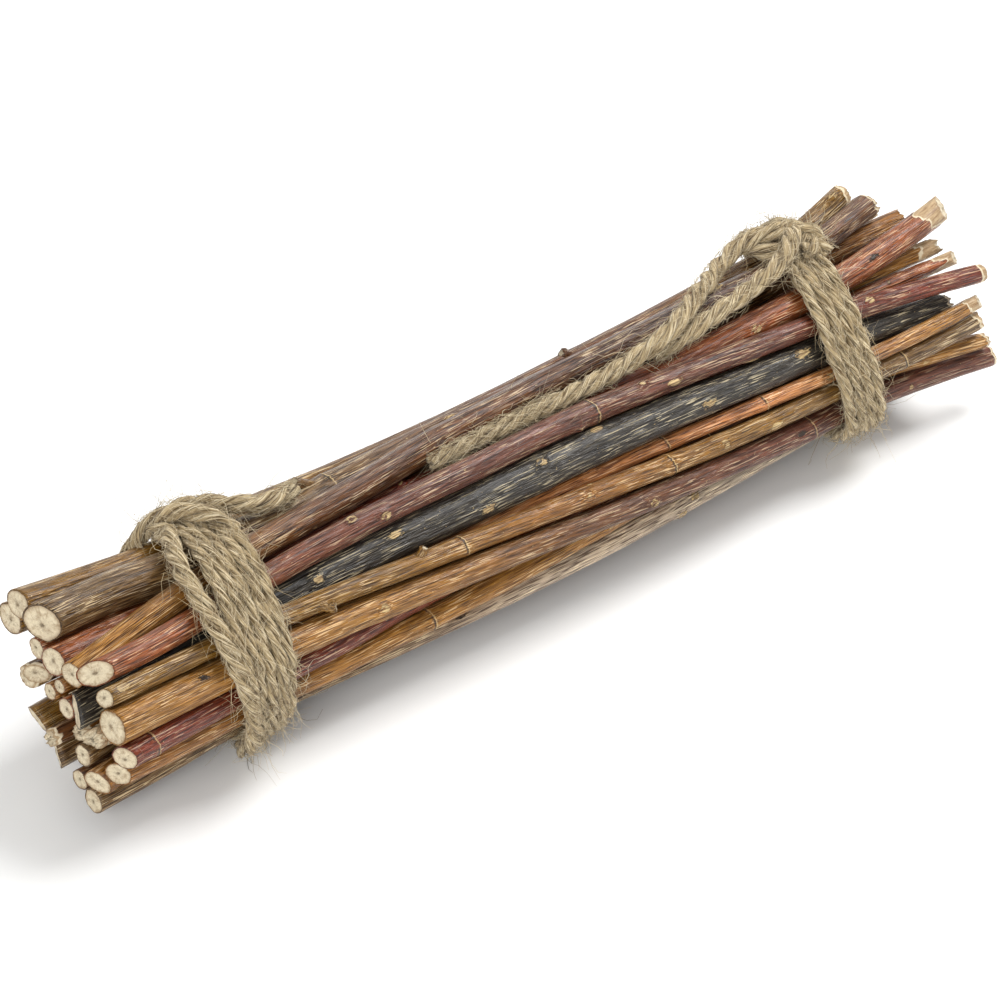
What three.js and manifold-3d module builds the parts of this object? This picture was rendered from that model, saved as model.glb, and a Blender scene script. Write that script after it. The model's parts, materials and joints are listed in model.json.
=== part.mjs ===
// A bundle of cut twigs, tied near both ends with jute twine and lying on its side.
// Units are millimetres. X runs along the bundle, Z is up, and the origin is under the
// middle of the bundle on the surface that it rests on.
//
// A place in the bundle is written as (along, across, toward): along the bundle from its
// middle tie-to-tie, across it, and toward the side that shows best. The last two axes
// lean over by LEAN from the level.
import * as THREE from 'three';
import { mergeVertices } from 'three/addons/utils/BufferGeometryUtils.js';
import Module from 'manifold-3d';

const wasm = await Module();
wasm.setup();

// Driving dimensions
const LEAN = THREE.MathUtils.degToRad(45.6); // how far the across axis points below the level
const TWIG_GAP = 0.38; // least room left between two twigs
const SIDES = 8; // faces round a twig or a cord
const RING_SIDES = 32; // faces round a band
const FULLNESS = 1.03; // makes an eight-sided section as large as the round one
const CORD = 3.6; // diameter of the twine
const CORD_GAP = 0.4; // room between the twine and what it lies on
const FAR = 400; // larger than the whole bundle
// Where the bundle's axis passes (X, Y, Z). It lies low enough that the bands, which bear
// the weight, are pressed flat by about a millimetre.
const AXIS = [-6.395, -0.265, 20.3];

// The two bands of twine: middle, how far the winding slants (along, at the across side and
// at the toward side), half its width at the toward side and at the far side, its turns, and
// the centre and radius that the twigs are drawn in to.
const BANDS = {
  left: { middle: -60.9, slant: [-1.6, -3.5], half: [7.0, 4.2], turns: 5, centre: [-0.6, 0], grip: 17.8 },
  right: { middle: 78.6, slant: [-0.4, -6.0], half: [5.9, 4.9], turns: 4, centre: [-1.0, 0], grip: 17.8 },
};
const KNOTS = {
  left: { middle: -63.0, bearing: [-19.6, 5.6], size: [5.0, 3.6, 5.4] },
  right: { middle: 76.5, bearing: [-18.8, 9.4], size: [5.8, 4.4, 6.0] },
};

const BARK = {
  tan: { color: 0xa87b42, roughness: 0.55 },
  olive: { color: 0x7b5f33, roughness: 0.6 },
  red: { color: 0x8f3f22, roughness: 0.45 },
  brown: { color: 0x6b4130, roughness: 0.5 },
  grey: { color: 0x76675a, roughness: 0.6 },
  black: { color: 0x35322f, roughness: 0.55 },
};
const JUTE = { color: 0xa98f66, roughness: 0.95 };

// Each twig: its bark, its radius at the left end, middle and right end, where its ends
// are along the bundle, and its place (across, toward) at the left end, the left band,
// the middle, the right band and the right end. A cut leans by the slopes [across,
// toward]: how far the end moves along the bundle for each millimetre off the centre.
const TWIGS = [
  { bark: 'grey', radius: [3.6, 3.1, 2.2], ends: [-95.6, 105.5], cuts: [[0.25, 0.37], [0, -0.3]],
    at: [[-14.1, 9.3], [-13.3, 6.0], [-13.9, 3.6], [-12.9, 4.0], [-12.5, 6.0]] },
  { bark: 'olive', radius: [2.65, 2.5, 2.3], ends: [-95.7, 98.5], cuts: [[0, 0.22], [0.2, 0]],
    at: [[-19.0, 4.0], [-16.2, 0.2], [-14.2, -2.6], [-17.3, 0.4], [-22.4, 2.5]] },
  { bark: 'olive', radius: [3.0, 2.7, 2.3], ends: [-95.5, 106.0], cuts: [[0, 0.12], [0.3, 0.2]],
    at: [[-17.2, -1.9], [-15.0, -4.4], [-12.0, -8.2], [-15.2, -4.8], [-17.4, -3.0]] },
  { bark: 'red', radius: [2.7, 2.6, 2.7], ends: [-96.8, 109.1], cuts: [[0, 0.27], [0, -0.9]],
    at: [[-7.4, 9.4], [-7.4, 8.2], [-6.5, 8.2], [-6.9, 13.4], [-11.3, 14.0]] },
  { bark: 'brown', radius: [2.45, 2.75, 2.5], ends: [-96.5, 98.7], cuts: [[0.15, 0.22], [0.3, 0.1]],
    at: [[-3.7, 13.2], [-8.9, 13.1], [-13.4, 9.2], [-16.2, 6.9], [-18.8, 7.2]] },
  { bark: 'red', radius: [2.3, 2.3, 1.9], ends: [-94.7, 108.9], cuts: [[0.3, 1.02], [0, 0.1]],
    at: [[-1.8, 17.0], [-4.2, 15.0], [-5.8, 15.2], [-1.0, 15.0], [3.7, 16.2]] },
  { bark: 'black', radius: [3.0, 3.45, 2.3], ends: [-97.4, 101.7], cuts: [[-0.3, -0.28], [0.3, 0.2]],
    at: [[2.4, 9.4], [0.2, 10.2], [0.0, 14.0], [3.8, 12.6], [5.8, 11.0]] },
  { bark: 'olive', radius: [1.75, 2.0, 1.85], ends: [-95.2, 106.9], cuts: [[0, 0.42], [0, -0.4]],
    at: [[1.7, 17.4], [3.4, 15.6], [7.4, 14.0], [12.4, 11.6], [11.2, 12.6]] },
  { bark: 'red', radius: [2.1, 1.45, 1.55], ends: [-96.9, 106.9], cuts: [[0.3, 0.32], [0, -0.8]],
    at: [[6.9, 10.0], [5.2, 9.4], [5.0, 12.2], [8.2, 13.4], [7.6, 14.2]] },
  { bark: 'tan', radius: [3.3, 2.3, 2.3], ends: [-95.2, 110.5], cuts: [[0, 0.17], [0, -0.1]],
    at: [[6.5, 15.4], [8.0, 13.2], [11.5, 12.2], [15.6, 6.6], [18.4, 5.2]] },
  { bark: 'red', radius: [2.15, 1.85, 1.6], ends: [-94.5, 100.5], cuts: [[0.3, 0.42], [0, 0]],
    at: [[13.2, 12.5], [13.6, 10.4], [12.6, 7.2], [9.4, 7.4], [9.0, 7.6]] },
  { bark: 'tan', radius: [2.25, 2.0, 1.6], ends: [-95.0, 108.7], cuts: [[0.3, 0.42], [0, -0.2]],
    at: [[14.6, 8.6], [15.2, 6.2], [15.0, 8.8], [13.7, 7.6], [15.6, 9.0]] },
  { bark: 'grey', radius: [2.3, 2.15, 1.9], ends: [-97.0, 98.5], cuts: [[0, 0.12], [0, 0]],
    at: [[16.7, -0.8], [15.3, 1.0], [17.8, 4.2], [17.4, 1.6], [17.0, 0.6]] },
  { bark: 'tan', radius: [2.0, 2.1, 1.9], ends: [-96.4, 101.5], cuts: [[0, 0.12], [0, 0]],
    at: [[-10.9, 4.6], [-9.6, 2.2], [-8.4, 1.2], [-9.8, 1.6], [-10.4, 1.4]] },
  { bark: 'olive', radius: [2.2, 2.1, 2.0], ends: [-96.6, 100.0], cuts: [[0, 0.12], [0, 0]],
    at: [[-7.2, -3.9], [-6.8, -5.2], [-7.4, -5.6], [-7.6, -4.4], [-7.0, -4.6]] },
  { bark: 'brown', radius: [2.0, 2.0, 1.9], ends: [-97.1, 103.0], cuts: [[0.5, 0.62], [0, 0]],
    at: [[-6.8, 0.9], [-5.8, -0.8], [-3.6, -1.2], [-4.2, -0.6], [-3.8, -0.8]] },
  { bark: 'tan', radius: [1.4, 1.7, 1.9], ends: [-96.8, 106.7], cuts: [[0, 0.12], [0.4, 0.2]],
    at: [[-3.3, 7.0], [-3.8, 5.6], [-2.8, 5.6], [-6.0, 8.6], [-5.3, 10.0]] },
  { bark: 'red', radius: [2.0, 1.8, 1.6], ends: [-96.4, 108.1], cuts: [[0, 0.12], [0, -0.9]],
    at: [[0.2, 4.4], [0.0, 4.6], [0.8, 8.2], [-2.6, 10.6], [-1.6, 12.0]] },
  { bark: 'olive', radius: [2.5, 2.4, 2.2], ends: [-97.0, 101.0], cuts: [[0.2, -0.28], [0, 0]],
    at: [[0.7, -7.0], [-0.6, -6.8], [0.0, -6.6], [-0.4, -6.0], [-0.4, -6.4]] },
  { bark: 'brown', radius: [1.7, 1.8, 1.7], ends: [-98.6, 104.0], cuts: [[0, 0.12], [0, 0]],
    at: [[4.2, -2.5], [3.0, -2.2], [2.6, -1.6], [2.0, -1.2], [2.2, -1.4]] },
  { bark: 'grey', radius: [3.3, 3.0, 2.6], ends: [-96.0, 98.0], cuts: [[-0.2, -0.38], [0, 0]],
    at: [[6.3, -8.6], [5.4, -8.0], [6.8, -7.4], [5.6, -7.0], [6.0, -7.6]] },
  { bark: 'tan', radius: [1.8, 1.9, 1.8], ends: [-96.7, 102.0], cuts: [[0.2, 0.32], [0, 0]],
    at: [[5.3, 5.7], [4.4, 4.0], [4.8, 6.2], [4.0, 6.2], [4.2, 6.4]] },
  { bark: 'tan', radius: [1.6, 1.7, 1.7], ends: [-97.0, 100.0], cuts: [[0, 0.12], [0, 0]],
    at: [[-2.6, 3.1], [-2.2, 2.0], [-0.8, 1.8], [-1.2, 3.4], [-1.0, 3.6]] },
  { bark: 'olive', radius: [2.1, 2.1, 1.9], ends: [-97.0, 103.5], cuts: [[0, 0.12], [0, 0]],
    at: [[9.5, 3.6], [8.6, 3.0], [8.4, 2.6], [8.0, 2.4], [8.2, 2.2]] },
  { bark: 'brown', radius: [1.9, 2.0, 1.9], ends: [-96.9, 99.5], cuts: [[0, 0.12], [0, 0]],
    at: [[12.1, -2.2], [11.6, -2.4], [12.4, -3.2], [11.6, -2.6], [12.0, -2.8]] },
  { bark: 'tan', radius: [2.5, 2.2, 2.0], ends: [-96.8, 101.0], cuts: [[0.4, 0.22], [0, 0]],
    at: [[14.8, 3.9], [12.4, 3.0], [12.9, 2.4], [12.0, 2.6], [12.4, 2.8]] },
  { bark: 'brown', radius: [2.3, 2.4, 2.3], ends: [-91.0, 99.0], cuts: [[0, 0], [0, 0]],
    at: [[-2.0, -2.0], [-1.8, -2.2], [-1.0, -2.8], [-1.4, -2.4], [-1.6, -2.4]] },
  { bark: 'tan', radius: [2.3, 2.3, 2.2], ends: [-90.0, 97.0], cuts: [[0, 0], [0, 0]],
    at: [[-12.0, -1.4], [-11.0, -1.4], [-9.2, -2.6], [-10.8, -2.2], [-11.4, -2.0]] },
  { bark: 'olive', radius: [2.9, 2.8, 2.5], ends: [-88.0, 96.0], cuts: [[0, 0], [0, 0]],
    at: [[-12.0, -7.4], [-11.2, -8.6], [-9.0, -12.4], [-11.2, -9.2], [-12.0, -8.6]] },
  { bark: 'brown', radius: [3.0, 2.9, 2.6], ends: [-87.0, 100.0], cuts: [[0, 0], [0, 0]],
    at: [[-6.0, -10.2], [-6.4, -11.0], [-3.4, -11.6], [-5.4, -10.6], [-5.8, -10.4]] },
  { bark: 'grey', radius: [3.1, 3.0, 2.7], ends: [-86.0, 95.0], cuts: [[0, 0], [0, 0]],
    at: [[0.4, -13.4], [-0.6, -13.6], [2.4, -13.8], [0.6, -12.8], [0.4, -12.6]] },
  { bark: 'tan', radius: [2.9, 2.8, 2.6], ends: [-88.5, 98.0], cuts: [[0, 0], [0, 0]],
    at: [[7.6, -14.0], [6.2, -13.8], [8.6, -12.8], [7.0, -12.8], [7.2, -12.8]] },
  { bark: 'brown', radius: [2.9, 2.8, 2.5], ends: [-90.0, 100.0], cuts: [[0, 0], [0, 0]],
    at: [[12.6, -8.4], [11.6, -8.8], [13.6, -8.2], [12.0, -8.2], [12.4, -8.2]] },
  { bark: 'olive', radius: [2.0, 2.0, 1.9], ends: [-92.0, 97.0], cuts: [[0, 0], [0, 0]],
    at: [[8.6, -2.2], [8.0, -2.4], [8.6, -2.2], [8.0, -2.0], [8.2, -2.0]] },
];
TWIGS.forEach((twig, i) => {
  twig.name = `twig_${String(i + 1).padStart(2, '0')}`;
});

// Short stumps of side shoots: the twig, its place along the bundle, the bearing round
// the twig (across, toward), and the stump's radius and height above the bark.
const STUMPS = [
  { twig: 'twig_01', along: -37.0, bearing: [-0.95, 0.3], radius: 1.5, height: 1.5 },
  { twig: 'twig_02', along: 28.5, bearing: [-0.97, 0.25], radius: 1.1, height: 1.0 },
  { twig: 'twig_08', along: -44.0, bearing: [0.8, 0.6], radius: 0.9, height: 0.9 },
  { twig: 'twig_08', along: -27.0, bearing: [-0.5, 0.86], radius: 0.8, height: 0.8 },
];

// The free ends of the twine, from the knot to the tip, as (along, across, toward).
const TAILS = {
  tail_left: [
    [-66.0, -18.3, 8.8], [-66.6, -19.8, 6.2], [-65.6, -21.2, 3.8], [-62.6, -22.0, 2.8],
    [-59.0, -21.9, 3.7], [-55.8, -20.6, 5.6], [-52.8, -18.6, 7.8], [-49.6, -16.9, 9.5],
    [-46.0, -16.0, 10.1], [-42.8, -15.9, 9.9], [-40.6, -16.0, 9.6],
  ],
  tail_right_long: [
    [75.3, -19.8, 14.2], [72.0, -21.0, 12.8], [68.0, -21.4, 11.4], [64.0, -20.8, 10.6],
    [60.0, -19.6, 10.9], [56.0, -18.4, 12.2], [52.5, -17.2, 13.7], [49.0, -16.2, 15.3],
    [45.5, -15.0, 17.1], [41.5, -13.5, 18.1], [38.0, -12.2, 18.1], [34.5, -11.3, 17.2],
    [31.0, -10.7, 15.8], [27.0, -10.2, 14.7], [22.0, -10.0, 14.1], [16.0, -9.9, 13.9],
    [9.0, -9.9, 13.8], [2.0, -9.9, 13.8], [-5.0, -9.9, 13.8], [-11.0, -9.8, 14.0],
    [-16.0, -9.7, 14.4],
  ],
  tail_right_short: [
    [72.5, -18.0, 17.0], [69.5, -16.0, 17.8], [66.0, -14.5, 17.9], [62.0, -13.5, 17.6],
    [58.0, -12.7, 17.2], [54.0, -12.1, 16.8], [50.0, -11.6, 16.4], [46.0, -10.9, 15.8],
    [42.5, -10.4, 15.1], [39.0, -10.0, 14.5], [35.5, -9.8, 14.1],
  ],
};

// Sections through the bundle, at which the twigs are given room beside each other
const SECTIONS = Array.from({ length: 13 }, (_, k) => -102 + 18 * k);
const PASSES = 700; // rounds of easing the twigs apart
const FIRM_PASSES = 250; // the last of them only part the twigs
const STIFFNESS = 0.35; // how strongly a twig straightens
const PULL = 0.02; // how strongly a twig keeps to its stated place
const GRIP_REACH = 14; // how near a band has to be to a section to draw it in
const END_ROOM = 11; // how far past the end of a cord the twigs still leave it room

// A smooth value at x through the values at the places xs, with no overshoot past the ends.
function through(xs, values, x) {
  let i = 0;
  while (i < xs.length - 2 && x > xs[i + 1]) i++;
  const slope = (k) => {
    const a = Math.max(k - 1, 0);
    const b = Math.min(k + 1, xs.length - 1);
    return (values[b] - values[a]) / (xs[b] - xs[a]);
  };
  const width = xs[i + 1] - xs[i];
  const u = THREE.MathUtils.clamp((x - xs[i]) / width, -0.3, 1.3);
  const rise = values[i + 1] - values[i];
  if (u < 0) return values[i] + slope(i) * u * width;
  if (u > 1) return values[i + 1] + slope(i + 1) * (u - 1) * width;
  const cubic = u * u * (3 - 2 * u);
  const leave = u * (1 - u) * (1 - u) * width * slope(i);
  const arrive = u * u * (1 - u) * width * slope(i + 1);
  return values[i] + rise * cubic + leave - arrive;
}

function radiusAt(twig, x) {
  const [from, to] = twig.ends;
  return through([from, 0, to], twig.radius, THREE.MathUtils.clamp(x, from, to));
}

// The stated place of a twig at x, before the twigs are eased apart
function statedPlace(twig, x) {
  const xs = [twig.ends[0], BANDS.left.middle, 0, BANDS.right.middle, twig.ends[1]];
  return [0, 1].map((axis) => through(xs, twig.at.map((place) => place[axis]), x));
}

// The place of a polyline of (along, across, toward) points at x. Just past an end it is
// the place of that end, and farther on it is null.
function onRoute(route, x) {
  for (let i = 1; i < route.length; i++) {
    const [a, b] = [route[i - 1], route[i]];
    const u = (x - a[0]) / (b[0] - a[0]);
    if (u >= 0 && u <= 1) return [1, 2].map((axis) => a[axis] + (b[axis] - a[axis]) * u);
  }
  const end = [route[0], route.at(-1)].find((point) => Math.abs(x - point[0]) < END_ROOM);
  return end ? end.slice(1) : null;
}

// Moves two discs apart along the line between them until they clear each other. A share
// of 1 moves only the first.
function part(a, b, room, share) {
  const [dx, dy] = [a[0] - b[0], a[1] - b[1]];
  const apart = Math.hypot(dx, dy) || 1e-6;
  if (apart >= room) return;
  const push = (room - apart) / apart;
  a[0] += dx * push * share;
  a[1] += dy * push * share;
  b[0] -= dx * push * (1 - share);
  b[1] -= dy * push * (1 - share);
}

// Eases the twigs apart in every section, keeps them smooth along the bundle and draws
// them in at the bands, as tying does.
function settle() {
  const places = SECTIONS.map((x) => TWIGS.map((twig) => statedPlace(twig, x)));
  const stated = SECTIONS.map((x) => TWIGS.map((twig) => statedPlace(twig, x)));
  for (let pass = 0; pass < PASSES; pass++) {
    const easing = pass < PASSES - FIRM_PASSES;
    SECTIONS.forEach((x, k) => {
      const row = places[k];
      const radii = TWIGS.map((twig) => radiusAt(twig, x) * FULLNESS);
      for (let i = 0; i < row.length; i++) {
        for (let j = i + 1; j < row.length; j++) {
          part(row[i], row[j], radii[i] + radii[j] + TWIG_GAP, 0.5);
        }
        for (const route of Object.values(TAILS)) {
          const cord = onRoute(route, x);
          if (cord) part(row[i], cord, radii[i] + CORD / 2 + CORD_GAP, 1);
        }
      }
      if (!easing) return;
      for (const band of Object.values(BANDS)) {
        if (Math.abs(x - band.middle) > GRIP_REACH) continue;
        row.forEach((place, i) => {
          const [dx, dy] = [place[0] - band.centre[0], place[1] - band.centre[1]];
          const over = Math.hypot(dx, dy) + radii[i] - band.grip;
          if (over <= 0) return;
          place[0] -= (dx / Math.hypot(dx, dy)) * over;
          place[1] -= (dy / Math.hypot(dx, dy)) * over;
        });
      }
      row.forEach((place, i) => {
        place[0] += (stated[k][i][0] - place[0]) * PULL;
        place[1] += (stated[k][i][1] - place[1]) * PULL;
      });
    });
    if (!easing) continue;
    TWIGS.forEach((_, i) => {
      for (let k = 1; k < SECTIONS.length - 1; k++) {
        for (const axis of [0, 1]) {
          const middle = (places[k - 1][i][axis] + places[k + 1][i][axis]) / 2;
          const bend = (stated[k - 1][i][axis] + stated[k + 1][i][axis]) / 2 - stated[k][i][axis];
          places[k][i][axis] += (middle - bend - places[k][i][axis]) * STIFFNESS;
        }
      }
    });
  }
  return places;
}

const places = settle();

// The settled place (across, toward) of twig number i at x
function placeAt(i, x) {
  const step = SECTIONS[1] - SECTIONS[0];
  const k = THREE.MathUtils.clamp(Math.floor((x - SECTIONS[0]) / step), 0, SECTIONS.length - 2);
  const u = (x - SECTIONS[k]) / step;
  return [0, 1].map((axis) => places[k][i][axis] * (1 - u) + places[k + 1][i][axis] * u);
}

// Where a band lies along the bundle at a bearing, for a share of -1 to 1 of its half width
function bandAlong(band, bearing, share) {
  const [near, far] = band.half;
  const half = (near + far) / 2 + ((near - far) / 2) * Math.sin(bearing);
  const middle = band.middle + band.slant[0] * Math.cos(bearing) + band.slant[1] * Math.sin(bearing);
  return middle + half * share;
}

// The distance from a band's centre to the taut line round all the twigs, at each bearing,
// over the stretch [from, to] that extent gives for that bearing
const BEARINGS = 72;
function girdle(band, extent) {
  const reach = Array.from({ length: BEARINGS }, (_, b) => {
    const angle = (b / BEARINGS) * 2 * Math.PI;
    const [c, s] = [Math.cos(angle), Math.sin(angle)];
    const [from, to] = extent(angle);
    let most = 0;
    for (let x = from; x <= to; x += 2) {
      TWIGS.forEach((twig, i) => {
        if (x < twig.ends[0] || x > twig.ends[1]) return;
        const [across, toward] = placeAt(i, x);
        const out = (across - band.centre[0]) * c + (toward - band.centre[1]) * s;
        most = Math.max(most, out + radiusAt(twig, x) * FULLNESS);
      });
    }
    return most;
  });
  return (bearing) => {
    let least = Infinity;
    for (let b = 0; b < BEARINGS; b++) {
      const turn = bearing - (b / BEARINGS) * 2 * Math.PI;
      if (Math.cos(turn) > 0.3) least = Math.min(least, reach[b] / Math.cos(turn));
    }
    return least;
  };
}

const BAND_ROOM = 2; // how far past a band's edges the taut line still clears the twigs
const girdles = {};
for (const [side, band] of Object.entries(BANDS)) {
  girdles[side] = girdle(band, (bearing) => [
    bandAlong(band, bearing, -1) - BAND_ROOM,
    bandAlong(band, bearing, 1) + BAND_ROOM,
  ]);
}

// (along, across, toward) in the object's own axes
function toFrame(along, across, toward) {
  return new THREE.Vector3(
    along + AXIS[0],
    -Math.cos(LEAN) * across - Math.sin(LEAN) * toward + AXIS[1],
    -Math.sin(LEAN) * across + Math.cos(LEAN) * toward + AXIS[2],
  );
}

// Moves each vertex of a geometry to the place that the function gives for it
function reshape(geometry, move) {
  const position = geometry.attributes.position;
  const v = new THREE.Vector3();
  for (let i = 0; i < position.count; i++) {
    v.fromBufferAttribute(position, i);
    const { x, y, z } = move(v);
    position.setXYZ(i, x, y, z);
  }
  return geometry;
}

// One closed mesh with shared vertices, turned so that its faces point out
function closed(geometry) {
  geometry.deleteAttribute('normal');
  geometry.deleteAttribute('uv');
  const merged = mergeVertices(geometry, 1e-4);
  const index = Array.from(merged.index.array);
  const position = merged.attributes.position;
  const kept = [];
  let volume = 0;
  const [a, b, c] = [new THREE.Vector3(), new THREE.Vector3(), new THREE.Vector3()];
  for (let i = 0; i < index.length; i += 3) {
    const [p, q, r] = index.slice(i, i + 3);
    if (p === q || q === r || r === p) continue;
    kept.push(p, q, r);
    a.fromBufferAttribute(position, p);
    b.fromBufferAttribute(position, q);
    c.fromBufferAttribute(position, r);
    volume += a.dot(b.cross(c));
  }
  if (volume < 0) kept.reverse();
  merged.setIndex(kept);
  return merged;
}

function toSolid(geometry) {
  const mesh = closed(geometry);
  return new wasm.Manifold(new wasm.Mesh({
    numProp: 3,
    vertProperties: new Float32Array(mesh.attributes.position.array),
    triVerts: new Uint32Array(mesh.index.array),
  }));
}

function toGeometry(solid) {
  const mesh = solid.getMesh();
  const geometry = new THREE.BufferGeometry();
  geometry.setAttribute('position', new THREE.BufferAttribute(mesh.vertProperties, 3));
  geometry.setIndex(new THREE.BufferAttribute(mesh.triVerts, 1));
  return geometry;
}

// A twig is a cylinder drawn along its settled line, with both ends cut
function twigGeometry(twig, i) {
  const [from, to] = twig.ends;
  const clear = 4; // a ring this near an end is left out
  const rings = [from, ...SECTIONS.filter((x) => x > from + clear && x < to - clear), to];
  const last = rings.length - 1;
  const body = new THREE.CylinderGeometry(1, 1, 1, SIDES, last);
  return reshape(body, (v) => {
    const ring = Math.round((v.y + 0.5) * last);
    const x = rings[ring];
    const r = radiusAt(twig, x) * FULLNESS;
    const [across, toward] = placeAt(i, x);
    const cut = ring === 0 ? twig.cuts[0] : ring === last ? twig.cuts[1] : [0, 0];
    const shift = (v.x * cut[0] + v.z * cut[1]) * r;
    return toFrame(x + shift, across + v.x * r, toward + v.z * r);
  });
}

function withStump(geometry, twig, i, stump) {
  const [across, toward] = placeAt(i, stump.along);
  const r = radiusAt(twig, stump.along);
  const side = new THREE.Vector2(...stump.bearing).normalize();
  const foot = toFrame(stump.along, across, toward);
  const out = toFrame(stump.along, across + side.x, toward + side.y).sub(foot);
  const post = new THREE.CylinderGeometry(stump.radius * 0.9, stump.radius, r + stump.height, SIDES);
  post.translate(0, (r + stump.height) / 2, 0);
  post.applyQuaternion(new THREE.Quaternion().setFromUnitVectors(new THREE.Vector3(0, 1, 0), out));
  post.translate(foot.x, foot.y, foot.z);
  return toGeometry(toSolid(geometry).add(toSolid(post)));
}

// A ring whose profile (height over the girdle, share of the width) follows the girdle.
// alongAt gives where a share is along the bundle, at a bearing.
const LATHE_BASE = 60; // keeps every profile point off the lathe's axis
function ringGeometry(band, girdleAt, profile, alongAt) {
  const points = profile.map(([height, share]) => new THREE.Vector2(LATHE_BASE + height, share));
  return reshape(new THREE.LatheGeometry(points, RING_SIDES), (v) => {
    const bearing = Math.atan2(v.z, v.x);
    const height = Math.hypot(v.x, v.z) - LATHE_BASE;
    const out = height < -CORD ? 0 : girdleAt(bearing) + height;
    const across = band.centre[0] + out * Math.cos(bearing);
    return toFrame(alongAt(bearing, v.y), across, band.centre[1] + out * Math.sin(bearing));
  });
}

// A band is the turns of twine side by side, with a groove between each two
function bandSolid(side) {
  const band = BANDS[side];
  const groove = 0.7; // depth of the grooves between turns
  const shoulder = 1.1; // how much the outermost turns round down
  const pitch = 2 / band.turns;
  const profile = [[CORD_GAP, 1], [CORD_GAP, -1], [CORD_GAP + CORD - shoulder, -1]];
  for (let turn = 0; turn < band.turns; turn++) {
    if (turn > 0) profile.push([CORD_GAP + CORD - groove, turn * pitch - 1]);
    profile.push([CORD_GAP + CORD, (turn + 0.5) * pitch - 1]);
  }
  profile.push([CORD_GAP + CORD - shoulder, 1], [CORD_GAP, 1]);
  const alongAt = (bearing, share) => bandAlong(band, bearing, share);
  return toSolid(ringGeometry(band, girdles[side], profile, alongAt));
}

// The knot lies on its band, clear of every twig and of the free ends of the twine
function knotSolid(side) {
  const { middle, bearing, size } = KNOTS[side];
  const [along, outward, round] = size;
  const out = new THREE.Vector2(...bearing).normalize();
  const lump = reshape(new THREE.SphereGeometry(1, 12, 8), (v) => {
    const across = bearing[0] + v.y * outward * out.x - v.z * round * out.y;
    const toward = bearing[1] + v.y * outward * out.y + v.z * round * out.x;
    return toFrame(middle + v.x * along, across, toward);
  });
  const band = BANDS[side];
  const reach = 10; // the knot overhangs its band by less than this
  const wide = girdle(band, () => [middle - reach, middle + reach]);
  const profile = [[-LATHE_BASE, -1], [CORD_GAP, -1], [CORD_GAP, 1], [-LATHE_BASE, 1]];
  const twigs = ringGeometry(band, wide, profile, (_, share) => middle + reach * share);
  return toSolid(lump).subtract(toSolid(twigs));
}

function tubeGeometry(route, diameter) {
  const path = new THREE.CatmullRomCurve3(route.map((point) => toFrame(...point)));
  const section = new THREE.Shape().absarc(0, 0, diameter / 2, 0, 2 * Math.PI);
  const steps = Math.max(4, Math.round(path.getLength() / (2.1 * CORD)));
  return new THREE.ExtrudeGeometry(section, { steps, extrudePath: path, curveSegments: SIDES / 2 });
}

const bundle = new THREE.Group();

function addPiece(name, geometry, look) {
  const mesh = new THREE.Mesh(geometry, new THREE.MeshStandardMaterial({ ...look, metalness: 0 }));
  mesh.name = name;
  bundle.add(mesh);
}

TWIGS.forEach((twig, i) => {
  let geometry = twigGeometry(twig, i);
  for (const stump of STUMPS.filter((s) => s.twig === twig.name)) {
    geometry = withStump(geometry, twig, i, stump);
  }
  addPiece(twig.name, closed(geometry), BARK[twig.bark]);
});

const table = new THREE.BoxGeometry(FAR, FAR, FAR);
table.translate(0, 0, -FAR / 2);
const tails = {};
for (const [name, route] of Object.entries(TAILS)) {
  tails[name] = closed(tubeGeometry(route, CORD));
}
for (const side of ['left', 'right']) {
  let solid = bandSolid(side).add(knotSolid(side)).subtract(toSolid(table.clone()));
  for (const [name, route] of Object.entries(TAILS)) {
    if (name.includes(side)) solid = solid.subtract(toSolid(tubeGeometry(route, CORD + 2 * CORD_GAP)));
  }
  addPiece(`twine_${side}`, toGeometry(solid), JUTE);
}
for (const [name, geometry] of Object.entries(tails)) addPiece(name, geometry, JUTE);

export default bundle;
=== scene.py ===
import json
import math

import bpy
import numpy as np
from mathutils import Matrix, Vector


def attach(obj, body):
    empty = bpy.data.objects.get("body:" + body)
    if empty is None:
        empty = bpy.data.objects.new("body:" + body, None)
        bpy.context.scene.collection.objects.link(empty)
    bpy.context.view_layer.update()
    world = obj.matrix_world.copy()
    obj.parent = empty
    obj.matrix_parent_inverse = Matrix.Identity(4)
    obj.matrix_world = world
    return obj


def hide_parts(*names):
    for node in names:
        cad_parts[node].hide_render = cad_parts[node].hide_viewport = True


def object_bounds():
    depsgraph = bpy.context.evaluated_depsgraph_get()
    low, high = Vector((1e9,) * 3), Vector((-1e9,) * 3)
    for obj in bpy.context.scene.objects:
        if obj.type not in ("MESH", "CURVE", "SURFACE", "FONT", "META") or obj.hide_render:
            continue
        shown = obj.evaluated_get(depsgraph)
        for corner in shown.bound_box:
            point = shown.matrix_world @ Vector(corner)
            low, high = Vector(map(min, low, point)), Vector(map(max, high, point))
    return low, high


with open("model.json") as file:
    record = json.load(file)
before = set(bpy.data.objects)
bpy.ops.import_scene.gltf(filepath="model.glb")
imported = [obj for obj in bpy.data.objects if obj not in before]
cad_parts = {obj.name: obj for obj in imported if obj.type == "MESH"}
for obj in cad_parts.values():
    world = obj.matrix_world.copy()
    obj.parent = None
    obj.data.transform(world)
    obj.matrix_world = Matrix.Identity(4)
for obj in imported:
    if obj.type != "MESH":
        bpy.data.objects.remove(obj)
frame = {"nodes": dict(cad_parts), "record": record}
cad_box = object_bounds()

# A place in the bundle is (along, across, toward) in millimetres, as in the part's source.
MM = 0.001
LEAN = math.radians(45.6)
AXIS = np.array([-6.395, -0.265, 20.3])
FULLNESS = 1.03  # the eight-sided solids are this much larger than the round twigs
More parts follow.
